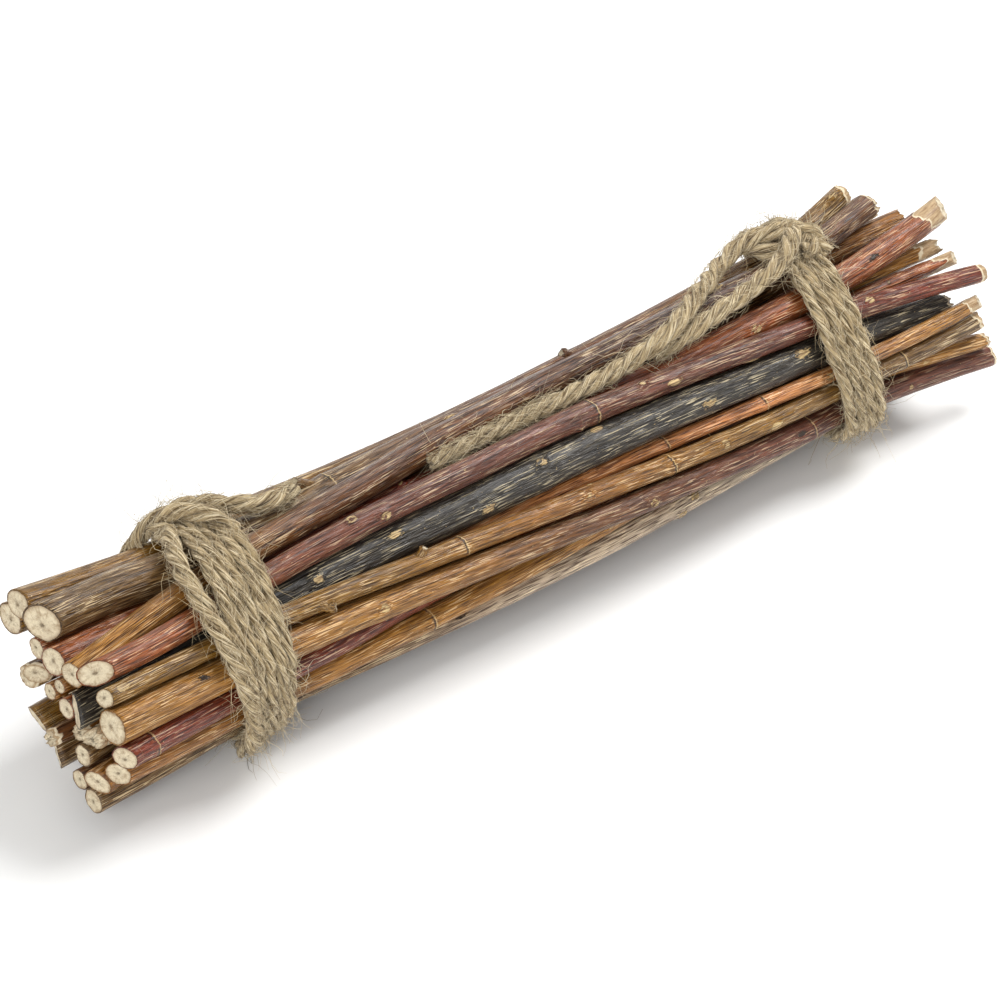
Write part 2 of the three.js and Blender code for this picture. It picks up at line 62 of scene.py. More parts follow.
# A twig's solid has a ring of corners at every step from the first section
SECTION_STEP = 18.0
FIRST_SECTION = -102.0
SOLID_SIDES = 8
CORD = 3.6
BAND_CORD = 2.5  # the cord is thinner where it is drawn tight
KNOT_CORD = CORD * 0.94
FLOOR_GAP = 0.02 * MM  # the lowest height of twigs and twine

# Photograph: its width and the place of the bundle's middle in it, in pixels, and where the
# camera stands, at a distance in mm
PHOTO_WIDTH = 1000
AXIS_PIXEL = (491.7, 494.5)
PIXELS_PER_MM = 5.5
AZIMUTH = math.radians(-39.2)
ELEVATION = math.radians(37.3)
DISTANCE = 830.0

# The bands of twine: the middle, how far it slants across and toward, half the width in front
# and behind, the number of turns, and the centre (across, toward)
BANDS = {
    "left": {"middle": -60.9, "slant": (-1.6, -3.5), "half": (7.0, 4.2), "turns": 5, "centre": (-0.6, 0.0)},
    "right": {"middle": 78.6, "slant": (-0.4, -6.0), "half": (5.9, 4.9), "turns": 4, "centre": (-1.0, 0.0)},
}
# The routes of the free ends of the twine, from the knot to the tip
TAILS = {
    "tail_left": [
        (-66.0, -18.3, 8.8), (-66.6, -19.8, 6.2), (-65.6, -21.2, 3.8), (-62.6, -22.0, 2.8),
        (-59.0, -21.9, 3.7), (-55.8, -20.6, 5.6), (-52.8, -18.6, 7.8), (-49.6, -16.9, 9.5),
        (-46.0, -16.0, 10.1), (-42.8, -15.9, 9.9), (-40.6, -16.0, 9.6),
    ],
    "tail_right_long": [
        (75.3, -19.8, 14.2), (72.0, -21.0, 12.8), (68.0, -21.4, 11.4), (64.0, -20.8, 10.6),
        (60.0, -19.6, 10.9), (56.0, -18.4, 12.2), (52.5, -17.2, 13.7), (49.0, -16.2, 15.3),
        (45.5, -15.0, 17.1), (41.5, -13.5, 18.1), (38.0, -12.2, 18.1), (34.5, -11.3, 17.0),
        (31.0, -10.7, 15.3), (27.0, -10.2, 13.9), (22.0, -10.0, 13.0), (16.0, -9.9, 12.6),
        (9.0, -9.9, 12.4), (2.0, -9.9, 12.4), (-5.0, -9.9, 12.4), (-11.0, -9.8, 12.6),
        (-16.0, -9.7, 12.9),
    ],
    "tail_right_short": [
        (72.5, -18.0, 17.0), (69.5, -16.0, 17.8), (66.0, -14.5, 17.9), (62.0, -13.5, 17.6),
        (58.0, -12.7, 17.2), (54.0, -12.1, 16.8), (50.0, -11.6, 16.4), (46.0, -10.9, 15.8),
        (42.5, -10.4, 15.1), (39.0, -10.0, 14.5), (35.5, -9.8, 14.1),
    ],
}
# The last stretch of each, over which it comes apart
FRAY = {"tail_left": 5.0, "tail_right_long": 30.0, "tail_right_short": 6.0}


def to_frame(points):
    """(along, across, toward) in mm to the row frame, in metres."""
    p = np.atleast_2d(np.asarray(points, float))
    x = p[:, 0] + AXIS[0]
    y = -math.cos(LEAN) * p[:, 1] - math.sin(LEAN) * p[:, 2] + AXIS[1]
    z = -math.sin(LEAN) * p[:, 1] + math.cos(LEAN) * p[:, 2] + AXIS[2]
    return np.stack([x, y, z], 1) * MM


def to_bundle(points):
    """The row frame in metres back to (along, across, toward) in mm."""
    p = np.atleast_2d(np.asarray(points, float)) / MM - AXIS
    across = -math.cos(LEAN) * p[:, 1] - math.sin(LEAN) * p[:, 2]
    toward = -math.sin(LEAN) * p[:, 1] + math.cos(LEAN) * p[:, 2]
    return np.stack([p[:, 0], across, toward], 1)


# Camera

def make_camera():
    look = Vector((
        -math.sin(AZIMUTH) * math.cos(ELEVATION),
        math.cos(AZIMUTH) * math.cos(ELEVATION),
        -math.sin(ELEVATION),
    ))
    right = look.cross(Vector((0, 0, 1))).normalized()
    up = right.cross(look)
    aside = (PHOTO_WIDTH / 2 - AXIS_PIXEL[0]) / PIXELS_PER_MM
    below = (PHOTO_WIDTH / 2 - AXIS_PIXEL[1]) / PIXELS_PER_MM
    aim = Vector(AXIS) + right * aside - up * below
    data = bpy.data.cameras.new("camera")
    data.sensor_width = 36.0
    data.lens = data.sensor_width * PIXELS_PER_MM * DISTANCE / PHOTO_WIDTH
    data.clip_start = 0.05
    data.clip_end = 20.0
    camera = bpy.data.objects.new("camera", data)
    bpy.context.scene.collection.objects.link(camera)
    camera.location = (aim - look * DISTANCE) * MM
    camera.rotation_mode = "QUATERNION"
    camera.rotation_quaternion = look.to_track_quat("-Z", "Y")
    bpy.context.scene.camera = camera


# Mesh helpers

def new_piece(name, verts, faces, attributes, material):
    """A smooth mesh piece. faces: arrays with one face a row. attributes: name -> a row a vertex."""
    mesh = bpy.data.meshes.new(name)
    mesh.vertices.add(len(verts))
    mesh.vertices.foreach_set("co", np.asarray(verts, np.float32).ravel())
    sizes = np.concatenate([np.full(len(f), f.shape[1]) for f in faces])
    loops = np.concatenate([f.ravel() for f in faces])
    mesh.loops.add(len(loops))
    mesh.loops.foreach_set("vertex_index", loops.astype(np.int32))
    mesh.polygons.add(len(sizes))
    starts = np.concatenate([[0], np.cumsum(sizes)[:-1]])
    mesh.polygons.foreach_set("loop_start", starts.astype(np.int32))
    mesh.polygons.foreach_set("use_smooth", np.ones(len(sizes), bool))
    kinds = {1: ("FLOAT", "value"), 3: ("FLOAT_VECTOR", "vector"), 4: ("FLOAT_COLOR", "color")}
    for key, values in attributes.items():
        values = np.asarray(values, np.float32)
        kind, field = kinds[1 if values.ndim == 1 else values.shape[1]]
        layer = mesh.attributes.new(key, kind, "POINT")
        layer.data.foreach_set(field, values.ravel())
    mesh.update(calc_edges=True)
    mesh.validate()
    piece = bpy.data.objects.new(name, mesh)
    bpy.context.scene.collection.objects.link(piece)
    piece.data.materials.append(material)
    return piece


def tube_faces(rings, sides, caps=True):
    """Quads between rings of vertices, and a polygon at each end. The bundle's axes are
    left-handed, so the faces are wound the other way round."""
    i = np.arange(rings - 1)[:, None] * sides
    j = np.arange(sides)[None, :]
    k = (j + 1) % sides
    faces = [np.stack([i + j, i + sides + j, i + sides + k, i + k], 2).reshape(-1, 4)]
    if caps:
        faces.append(np.arange(sides)[None, :])
        faces.append((np.arange(sides)[::-1] + (rings - 1) * sides)[None, :])
    return faces


def resample(points, step):
    """Points on a smooth curve through the given ones, about step apart."""
    p = np.asarray(points, float)
    padded = np.vstack([2 * p[0] - p[1], p, 2 * p[-1] - p[-2]])
    dense = []
    for a, b, c, d in zip(padded, padded[1:], padded[2:], padded[3:]):
        for u in np.linspace(0, 1, 16, endpoint=False):
            dense.append(0.5 * (2 * b + (c - a) * u + (2 * a - 5 * b + 4 * c - d) * u ** 2
                                + (3 * b - a - 3 * c + d) * u ** 3))
    dense = np.array(dense + [p[-1]])
    reach = np.concatenate([[0], np.cumsum(np.linalg.norm(np.diff(dense, axis=0), axis=1))])
    count = max(2, int(round(reach[-1] / step)) + 1)
    at = np.linspace(0, reach[-1], count)
    return np.stack([np.interp(at, reach, dense[:, k]) for k in range(3)], 1)


def frames_along(points):
    """Tangent, normal and side vector at each point, with no needless twist."""
    tangents = np.gradient(points, axis=0)
    tangents /= np.linalg.norm(tangents, axis=1)[:, None]
    normal = np.cross(tangents[0], (0.3, 0.2, 0.9))
    normals = []
    for t in tangents:
        normal = normal - t * (normal @ t)
        normal = normal / np.linalg.norm(normal)
        normals.append(normal)
    normals = np.array(normals)
    return tangents, normals, np.cross(tangents, normals)


def wander(at, spacing, rng):
    """Smooth noise of about -1 to 1 along a line, changing over the given spacing."""
    at = np.asarray(at, float)
    low = at.min() / spacing
    knots = rng.uniform(-1, 1, int(np.ceil(at.max() / spacing - low)) + 3)
    u = at / spacing - low
    k = np.floor(u).astype(int)
    f = u - k
    f = f * f * (3 - 2 * f)
    return knots[k] * (1 - f) + knots[k + 1] * f


# Materials

def node(tree, kind, inputs=(), **settings):
    """Adds a shader node. inputs: socket name or number -> a value or another node's output."""
    made = tree.nodes.new(kind)
    for key, value in settings.items():
        setattr(made, key, value)
    for key, value in dict(inputs).items():
        if isinstance(value, bpy.types.NodeSocket):
            tree.links.new(value, made.inputs[key])
        else:
            made.inputs[key].default_value = value
    return made


def mix(tree, share, a, b, blend="MIX"):
    made = node(tree, "ShaderNodeMix", {0: share, 6: a, 7: b}, data_type="RGBA", blend_type=blend)
    return made.outputs[2]


def calc(tree, operation, a, b=0.0):
    return node(tree, "ShaderNodeMath", {0: a, 1: b}, operation=operation, use_clamp=False).outputs[0]


def between(tree, value, low, high, to_low=0.0, to_high=1.0):
    inputs = {"Value": value, "From Min": low, "From Max": high, "To Min": to_low, "To Max": to_high}
    return node(tree, "ShaderNodeMapRange", inputs, clamp=True).outputs[0]


def attribute(tree, name, output="Fac"):
    return node(tree, "ShaderNodeAttribute", attribute_name=name).outputs[output]


def noise(tree, place, stretch, scale, detail=3.0, rough=0.55, shift=(0, 0, 0)):
    """Noise over a place in mm, stretched by the given factors."""
    mapped = node(tree, "ShaderNodeMapping", {"Vector": place, "Scale": stretch, "Location": shift})
    inputs = {"Vector": mapped.outputs[0], "Scale": scale, "Detail": detail, "Roughness": rough}
    return node(tree, "ShaderNodeTexNoise", inputs).outputs[0]


def new_material(name):
    material = bpy.data.materials.new(name)
    material.use_nodes = True
    tree = material.node_tree
    return material, tree, tree.nodes["Principled BSDF"]


# Painted highlight: the next colour is mixed into the bark's raised lines as lines of gloss, partly the
# bark's own light-coloured lines
HIGHLIGHT_TONE = (0.62, 0.52, 0.33, 1)
WOOD = (0.76, 0.66, 0.47, 1)
WOOD_GREY = (0.44, 0.34, 0.21, 1)
WOOD_DARK = (0.25, 0.15, 0.07, 1)
FLAKE = (0.66, 0.48, 0.23, 1)
CRACK = (0.035, 0.022, 0.014, 1)


def bark_material(name, roughness, coat, highlight_strength, furrow_shade_strength):
    """Bark over the attributes tint, grain (place in mm), wood, heart, spoke, pale, fleck, ringed."""
    material, tree, shader = new_material(name)
    grain = attribute(tree, "grain", "Vector")
    tint = attribute(tree, "tint", "Color")
    wood = attribute(tree, "wood")
    heart = attribute(tree, "heart")
    fleck = attribute(tree, "fleck")
    wrinkle = noise(tree, grain, (1, 1, 0.055), 2.6, 2.0, 0.5)
    fine = noise(tree, grain, (1, 1, 0.05), 4.8, 1.0, 0.45, (7, 3, 1))
    patch = noise(tree, grain, (1, 1, 0.2), 0.28, 3.0, 0.6, (2, 9, 4))
    where = noise(tree, grain, (1, 1, 0.15), 0.6, 1.0, 0.5, (5, 1, 8))
    rough_edge = noise(tree, grain, (1, 1, 0.6), 1.9, 3.0, 0.6, (1, 6, 2))
    speck = noise(tree, grain, (1, 1, 0.5), 2.6, 2.0, 0.6, (8, 2, 5))

    dark = mix(tree, 1.0, tint, (0.66, 0.58, 0.50, 1), "MULTIPLY")
    light = mix(tree, 1.0, tint, (1.32, 1.22, 1.08, 1), "MULTIPLY")
    bark = mix(tree, between(tree, wrinkle, 0.36, 0.60), dark, light)
    bark = mix(tree, between(tree, patch, 0.45, 0.68, 0.0, 0.5), bark,
               mix(tree, 1.0, bark, (0.62, 0.68, 0.72, 1), "MULTIPLY"))
    # Painted shade: the bark is darkened along the low lines of the fine relief, as shade in its furrow
    # lines
    painted_furrow_shade = between(tree, fine, 0.36, 0.46, furrow_shade_strength, 0.0)
    bark = mix(tree, painted_furrow_shade, bark, mix(tree, 1.0, bark, (0.22, 0.18, 0.16, 1), "MULTIPLY"))
    # Painted highlight: light lines of gloss along the raised lines of the fine relief, partly the bark's
    # own light-coloured lines
    highlight_mask = calc(tree, "MULTIPLY", between(tree, fine, 0.59, 0.625), between(tree, where, 0.39, 0.55))
    highlight_mask = calc(tree, "MULTIPLY", highlight_mask, attribute(tree, "pale"))
    lit = mix(tree, 0.6, mix(tree, 1.0, tint, (2.8, 2.6, 2.3, 1), "MULTIPLY"), HIGHLIGHT_TONE)
    bark = mix(tree, calc(tree, "MULTIPLY", highlight_mask, highlight_strength), bark, lit)
    dots = calc(tree, "MULTIPLY", between(tree, speck, 0.70, 0.74), attribute(tree, "pale"))
    bark = mix(tree, calc(tree, "MULTIPLY", dots, 0.6), bark, FLAKE)
    torn = calc(tree, "ADD", fleck, calc(tree, "MULTIPLY", calc(tree, "SUBTRACT", rough_edge, 0.5), 1.5))
    flake = between(tree, torn, 0.50, 0.60)
    flake_tone = mix(tree, between(tree, fine, 0.4, 0.62), (0.20, 0.12, 0.05, 1), FLAKE)
    bark = mix(tree, calc(tree, "MULTIPLY", flake, 0.9), bark, flake_tone)
    crack = between(tree, torn, -0.34, -0.46)
    bark = mix(tree, crack, bark, CRACK)
    ringed = calc(tree, "ADD", attribute(tree, "ringed"),
                  calc(tree, "MULTIPLY", calc(tree, "SUBTRACT", rough_edge, 0.5), 0.9))
    near_ring = calc(tree, "ABSOLUTE", ringed)
    ring = calc(tree, "MULTIPLY", between(tree, near_ring, 0.08, 0.24, 1.0, 0.0),
                between(tree, where, 0.36, 0.50))
    from_edge = calc(tree, "ABSOLUTE", calc(tree, "SUBTRACT", ringed, 0.36))
    ring_edge = between(tree, from_edge, 0.06, 0.2, 0.6, 0.0)
    bark = mix(tree, ring_edge, bark, FLAKE)
    bark = mix(tree, calc(tree, "MULTIPLY", ring, 0.85), bark, CRACK)

    fibre = noise(tree, grain, (1, 1, 0.1), 2.4, 4.0, 0.65, (3, 3, 9))
    growth = node(tree, "ShaderNodeTexNoise", {"W": calc(tree, "MULTIPLY", heart, 8.0), "Detail": 3.0},
                  noise_dimensions="1D").outputs[0]
    spokes = noise(tree, attribute(tree, "spoke", "Vector"), (1, 1, 1), 5.0, 3.0, 0.65)
    blotch = noise(tree, grain, (1, 1, 1), 0.8, 4.0, 0.65, (4, 4, 4))
    cut = mix(tree, between(tree, growth, 0.35, 0.7, 0.0, 0.55), WOOD, WOOD_GREY)
    cut = mix(tree, calc(tree, "MULTIPLY", between(tree, spokes, 0.52, 0.66, 0.0, 0.7),
                         between(tree, heart, 0.2, 0.6)), cut, WOOD_GREY)
    cut = mix(tree, between(tree, blotch, 0.48, 0.70, 0.0, 0.65), cut, WOOD_DARK)
    cut = mix(tree, between(tree, heart, 0.72, 0.90, 0.0, 0.55), cut, WOOD_DARK)
    pith = calc(tree, "ADD", heart, calc(tree, "MULTIPLY", calc(tree, "SUBTRACT", blotch, 0.5), 0.12))
    cut = mix(tree, between(tree, pith, 0.17, 0.11, 0.0, 0.45), cut, WOOD_DARK)
    cut = mix(tree, between(tree, pith, 0.10, 0.06, 0.0, 0.7), cut, (0.46, 0.36, 0.23, 1))
    peeled = mix(tree, between(tree, fibre, 0.36, 0.6), WOOD_DARK, (0.50, 0.36, 0.21, 1))
    face = mix(tree, between(tree, wood, 1.4, 1.6), cut, peeled)
    bare = between(tree, wood, 0.35, 0.65)
    colour = mix(tree, bare, bark, face)
    tree.links.new(colour, shader.inputs["Base Color"])

    rough = calc(tree, "ADD", between(tree, wrinkle, 0.35, 0.65, 0.12, -0.06), roughness)
    rough = calc(tree, "ADD", rough, calc(tree, "MULTIPLY", bare, 0.35))
    rough = calc(tree, "ADD", rough, calc(tree, "MULTIPLY", flake, 0.25))
    tree.links.new(rough, shader.inputs["Roughness"])
    shader.inputs["Specular IOR Level"].default_value = 0.33
    shader.inputs["Coat Weight"].default_value = coat
    shader.inputs["Coat Roughness"].default_value = 0.18
    height = calc(tree, "ADD", calc(tree, "MULTIPLY", fine, 1.1), calc(tree, "MULTIPLY", wrinkle, 1.1))
    height = calc(tree, "ADD", height, calc(tree, "MULTIPLY", flake, 0.5))
    height = calc(tree, "SUBTRACT", height, calc(tree, "MULTIPLY", calc(tree, "MAXIMUM", crack, ring), 0.7))
    carved = calc(tree, "ADD", calc(tree, "MULTIPLY", spokes, 0.8), calc(tree, "MULTIPLY", blotch, 1.2))
    height = node(tree, "ShaderNodeMix", {0: bare, 2: height, 3: carved}, data_type="FLOAT").outputs[0]
    bump = node(tree, "ShaderNodeBump", {"Height": height, "Strength": 1.0, "Distance": 0.00032})
    tree.links.new(bump.outputs[0], shader.inputs["Normal"])
    return material


def jute_material():
    """Jute over the attributes ply (across the fibres, along them, a number for the ply) in mm."""
    material, tree, shader = new_material("jute")
    ply = attribute(tree, "ply", "Vector")
    shade = attribute(tree, "shade")
    strand = noise(tree, ply, (1, 0.10, 1), 3.2, 3.0, 0.6)
    coarse = noise(tree, ply, (1, 0.16, 1), 1.3, 2.0, 0.5, (3, 5, 0))
    hair = noise(tree, ply, (1, 0.06, 1), 5.5, 2.0, 0.5, (1, 1, 6))
    colour = mix(tree, between(tree, strand, 0.40, 0.58), (0.10, 0.062, 0.026, 1), (0.46, 0.35, 0.195, 1))
    colour = mix(tree, between(tree, coarse, 0.35, 0.7, 0.0, 0.25), colour, (0.46, 0.37, 0.22, 1))
    colour = mix(tree, between(tree, hair, 0.54, 0.61, 0.0, 0.8), colour, (0.76, 0.65, 0.44, 1))
    colour = mix(tree, shade, colour, (0.66, 0.56, 0.38, 1))
    tree.links.new(colour, shader.inputs["Base Color"])
    shader.inputs["Roughness"].default_value = 0.9
    shader.inputs["Specular IOR Level"].default_value = 0.25
    shader.inputs["Sheen Weight"].default_value = 0.15
    height = calc(tree, "ADD", calc(tree, "MULTIPLY", strand, 1.2), calc(tree, "MULTIPLY", hair, 0.5))
    bump = node(tree, "ShaderNodeBump", {"Height": height, "Strength": 1.0, "Distance": 0.00025})
    tree.links.new(bump.outputs[0], shader.inputs["Normal"])
    return material


# Twine

PLIES = 3
PLY_SIDES = 9
PLY_STEP = 0.5
LAY = 15.0  # mm along the cord for one turn of its plies
PLY_SHARE = 4.31  # the cord's diameter in ply radii
PLY_OFFSET = 1.155  # from the cord's centre to a ply's, in ply radii
FRAY_HAIRS = 14  # hairs a mm on a frayed end, and wild ones
FRAY_WILD = 2.0
BOX_MARGIN = 0.5 * MM  # hairs are bent from this far past the solids' box, over the next HAIR_PAST
HAIR_PAST = 3.0 * MM


class Twine:
    """Collects the plies and loose fibres of one piece of twine."""

    def __init__(self, seed):
        self.rng = np.random.default_rng(seed)
        self.verts, self.faces, self.ply, self.shade = [], [], [], []
        self.count = 0

    def add(self, verts, faces, ply, shade):
        self.verts.append(verts)
        self.faces += [f + self.count for f in faces]
        self.ply.append(ply)
        self.shade.append(np.broadcast_to(np.asarray(shade, float), (len(verts),)))
        self.count += len(verts)

    def strand(self, points, diameter, fibres, wild, hairs=None, fray=0.0):
        """A cord of twisted plies along points in mm, with fibres and wild ones a mm, added to hairs.
        Over the last fray mm its plies come apart."""
        path = resample(points, PLY_STEP)
        _, normals, sides = frames_along(path)
        run = np.arange(len(path)) * PLY_STEP
        radius = diameter / PLY_SHARE
        offset = radius * PLY_OFFSET
        turn = 2 * math.pi * run / LAY + 0.25 * wander(run, 9, self.rng)
        loose = np.clip((run - run[-1]) / max(fray, 1e-6) + 1, 0, 1)
        around = np.arange(PLY_SIDES) * 2 * math.pi / PLY_SIDES
        for k in range(PLIES):
            angle = turn + k * 2 * math.pi / PLIES
            arm = normals * np.cos(angle)[:, None] + sides * np.sin(angle)[:, None]
            swell = 1 + 0.10 * wander(run, 3.0, self.rng)
            spread = 1 + 0.08 * wander(run, 5, self.rng)
            spread = offset * (spread - loose * (0.2 - 0.3 * wander(run, 6, self.rng)))
            centre = path + arm * spread[:, None]
            swell = swell * (1 - 0.3 * loose)
            spin = around[None, :] + angle[:, None]
            lumps = 1 + 0.07 * np.cos(3 * spin + run[:, None] * 0.8 + k)
            reach = (radius * 1.06 * swell)[:, None] * lumps
            ring = (centre[:, None] + normals[:, None] * (np.cos(spin) * reach)[..., None]
                    + sides[:, None] * (np.sin(spin) * reach)[..., None])
            label = self.rng.uniform(0, 60)
            ply = np.stack([
                np.broadcast_to(np.cos(around) * radius + label, spin.shape),
                np.broadcast_to(run[:, None] + self.rng.uniform(0, 50), spin.shape),
                np.broadcast_to(np.sin(around) * radius, spin.shape),
            ], 2)
            faces = tube_faces(len(path), PLY_SIDES)
            self.add(ring.reshape(-1, 3), faces, ply.reshape(-1, 3), 0.0)
        hairs = hairs or self
        hairs.fibres(path, diameter / 2, int(fibres * run[-1]), False)
        hairs.fibres(path, diameter / 2, int(wild * run[-1]), True)
        if fray:
            end = path[-int(fray / PLY_STEP):]
            hairs.fibres(end, diameter / 2, int(FRAY_HAIRS * fray), False)
            hairs.fibres(end, diameter / 2, int(FRAY_WILD * fray), True)
        return path

    def fibres(self, path, radius, count, wild):
        """Thin hairs that start in the cord: short ones that lie along it, or wild ones that stick out."""
        rng = self.rng
        tangents, normals, sides = frames_along(path)
        parts = 6 if wild else 4
        at = rng.integers(2, len(path) - 2, count)
        angle = rng.uniform(0, 2 * math.pi, count)
        out = normals[at] * np.cos(angle)[:, None] + sides[at] * np.sin(angle)[:, None]
        twist = np.cross(tangents[at], out)
        way = rng.choice([-1.0, 1.0], count)[:, None]
        length = rng.gamma(3.0, 1.5, count).clip(2, 10) if wild else rng.uniform(1.2, 4.0, count)
        lift = rng.uniform(0.25, 1.2, count) if wild else rng.uniform(0.02, 0.30, count)
        spread = 0.6 if wild else 0.28
        lean = rng.normal(-0.45, spread, count)[:, None]
        first = tangents[at] * way + twist * (lean * way) + out * lift[:, None]
        first /= np.linalg.norm(first, axis=1)[:, None]
        curl = (rng.normal(0, 0.55, (count, 3)) - out * 0.35) * (1.1 if wild else 0.45)
        start = path[at] + out * (radius * rng.uniform(0.84, 1.0, count))[:, None]
        u = np.linspace(0, 1, parts)
        line = (start[:, None] + first[:, None] * u[None, :, None] * length[:, None, None]
                + curl[:, None] * (u ** 2)[None, :, None] * length[:, None, None] * 0.5)
        second = rng.normal(0, 0.16, (count, 3))
        line += second[:, None] * np.sin(u * 2 * math.pi)[None, :, None] * length[:, None, None] * 0.5
        thin = rng.uniform(0.038, 0.075, count)[:, None] * (1 - 0.6 * u)[None, :]
        across = np.cross(first, rng.normal(0, 1, (count, 3)))
        across /= np.linalg.norm(across, axis=1)[:, None]
        third = np.cross(first, across)
        spin = np.arange(3) * 2 * math.pi / 3
        shape = across[:, None] * np.cos(spin)[None, :, None] + third[:, None] * np.sin(spin)[None, :, None]
        verts = line[:, :, None] + shape[:, None] * thin[..., None, None]
        block = tube_faces(parts, 3, caps=False)[0]
        faces = (block[None] + (np.arange(count) * parts * 3)[:, None, None]).reshape(-1, 4)
        label = rng.uniform(0, 90, (count, 1, 1, 3)) + np.zeros((count, parts, 3, 3))
        tone = np.repeat(rng.choice([0.0, 0.25, 0.55, 0.85], count, p=[0.35, 0.3, 0.22, 0.13]), parts * 3)
        self.add(verts.reshape(-1, 3), [faces], label.reshape(-1, 3), tone)

    def piece(self, name, material):
        verts = to_frame(np.vstack(self.verts))
        # Hairs bend over rather than stand far past the solids
        low, high = np.array(cad_box) + [[-BOX_MARGIN], [BOX_MARGIN]]
        past = verts - np.clip(verts, low, high)
        verts = verts - past + HAIR_PAST * np.tanh(past / HAIR_PAST)
        verts[:, 2] = np.maximum(verts[:, 2], FLOOR_GAP)
        attributes = {"ply": np.vstack(self.ply), "shade": np.concatenate(self.shade)}
        return new_piece(name, verts, self.faces, attributes, material)


def make_tails(material):
    for seed, (name, route) in enumerate(TAILS.items()):
        twine = Twine(40 + seed)
        hairs = Twine(80 + seed)
        path = twine.strand(route, CORD, fibres=7.5, wild=1.1, hairs=hairs, fray=FRAY[name])
        piece = twine.piece("cord_" + name, material)
        fuzz = hairs.piece("fuzz_" + name, material)
        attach(fuzz, "root")
        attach(piece, "root")
        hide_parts(name)
        path = to_frame(path)


# Twigs as the solids have them

def read_twig(name):
    """The rings of a twig's solid: places (along, across, toward) and radii in mm, and its ends."""
    solid = to_bundle([v.co for v in frame["nodes"][name].data.vertices])
    solid = np.unique(np.round(solid, 3), axis=0)
    steps = np.round((solid[:, 0] - FIRST_SECTION) / SECTION_STEP)
    sections = FIRST_SECTION + SECTION_STEP * steps
    on_section = np.abs(solid[:, 0] - sections) < 0.02
    rings = []
    for x in np.unique(sections[on_section]):
        ring = solid[on_section & (sections == x)]
        if len(ring) < SOLID_SIDES or x - 1 < solid[:, 0].min() or x + 1 > solid[:, 0].max():
            continue
        centre = (ring.max(0) + ring.min(0)) / 2
        rings.append((x, centre[1], centre[2], np.linalg.norm(ring[:, 1:] - centre[1:], axis=1).max()))
    rings = np.array(rings)
    ends = []
    for rows in (solid[solid[:, 0] < rings[0, 0] - 1], solid[solid[:, 0] > rings[-1, 0] + 1]):
        span = np.linalg.norm(rows[:, None, 1:] - rows[None, :, 1:], axis=2)
        a, b = np.unravel_index(span.argmax(), span.shape)
        centre = (rows[a] + rows[b]) / 2
        over = np.c_[rows[:, 1:] - centre[1:], np.ones(len(rows))]
        plane = np.linalg.lstsq(over, rows[:, 0], rcond=None)[0]
        ends.append((plane[2], centre[1], centre[2], span.max() / 2, plane[0], plane[1]))
    first, last = ends
    rings = np.vstack([first[:4], rings, last[:4]])
    return {"x": rings[:, 0], "across": rings[:, 1], "toward": rings[:, 2],
            "radius": rings[:, 3] / FULLNESS, "cuts": (first[4:], last[4:])}


def smooth_through(xs, values, x):
    """A smooth curve through values at xs, by Catmull-Rom with uneven steps."""
    slopes = np.gradient(values, xs)
    k = np.clip(np.searchsorted(xs, x) - 1, 0, len(xs) - 2)
    width = xs[k + 1] - xs[k]
    u = (x - xs[k]) / width
    return (values[k] * (1 + 2 * u) * (1 - u) ** 2 + values[k + 1] * u * u * (3 - 2 * u)
            + slopes[k] * width * u * (1 - u) ** 2 - slopes[k + 1] * width * u * u * (1 - u))


TWIG_NAMES = sorted(n for n in frame["nodes"] if n.startswith("twig_"))
TWIGS = {name: read_twig(name) for name in TWIG_NAMES}


# The bands of twine

def band_along(band, bearing, share):
    """The place along the bundle at a bearing round it. share: -1 at the band's left edge to 1."""
    near, far = band["half"]
    half = (near + far) / 2 + (near - far) / 2 * np.sin(bearing)
    slant = band["slant"][0] * np.cos(bearing) + band["slant"][1] * np.sin(bearing)
    return band["middle"] + slant + half * share


def girdle(band, count=120):
    """Distance from the band's centre to the taut line round the twigs, at count bearings."""
    bearings = np.arange(count) * 2 * math.pi / count
    reach = np.zeros(count)
    for b, angle in enumerate(bearings):
        low, high = band_along(band, angle, -1) - 1, band_along(band, angle, 1) + 1
        x = np.arange(low, high, 1.5)
        for twig in TWIGS.values():
            out = ((np.interp(x, twig["x"], twig["across"]) - band["centre"][0]) * math.cos(angle)
                   + (np.interp(x, twig["x"], twig["toward"]) - band["centre"][1]) * math.sin(angle)
                   + np.interp(x, twig["x"], twig["radius"]))
            reach[b] = max(reach[b], out.max())
    turn = bearings[:, None] - bearings[None, :]
    limit = np.where(np.cos(turn) > 0.3, reach[None, :] / np.maximum(np.cos(turn), 0.3), np.inf)
    taut = limit.min(1)
    for _ in range(3):
        taut = np.maximum(taut, (np.roll(taut, 1) + taut + np.roll(taut, -1)) / 3)
    return bearings, taut


def band_points(band, rng):
    """The line that the cord takes round the twigs."""
    bearings, taut = girdle(band)
    per_turn = 60
    steps = per_turn * band["turns"]
    phase = -math.pi / 2 + np.arange(steps + 1) * 2 * math.pi / per_turn
    bearing = np.mod(phase, 2 * math.pi)
    progress = np.linspace(0, 1, steps + 1)
    spread = 1 - BAND_CORD * 0.48 / np.mean(band["half"])
    share = (2 * progress - 1) * spread
    share += 0.05 * wander(phase, 1.4, rng)
    along = band_along(band, bearing, share)
    out = np.interp(bearing, np.r_[bearings, 2 * math.pi], np.r_[taut, taut[0]])
    out = out + BAND_CORD / 2 + 0.12 + 0.3 * (1 + wander(phase, 1.7, rng))
    # Both ends of the cord are tucked in
    out[:8] -= np.linspace(2.2, 0, 8)
    out[-8:] -= np.linspace(0, 2.2, 8)
    across = band["centre"][0] + out * np.cos(bearing)
    return np.stack([along, across, band["centre"][1] + out * np.sin(bearing)], 1)


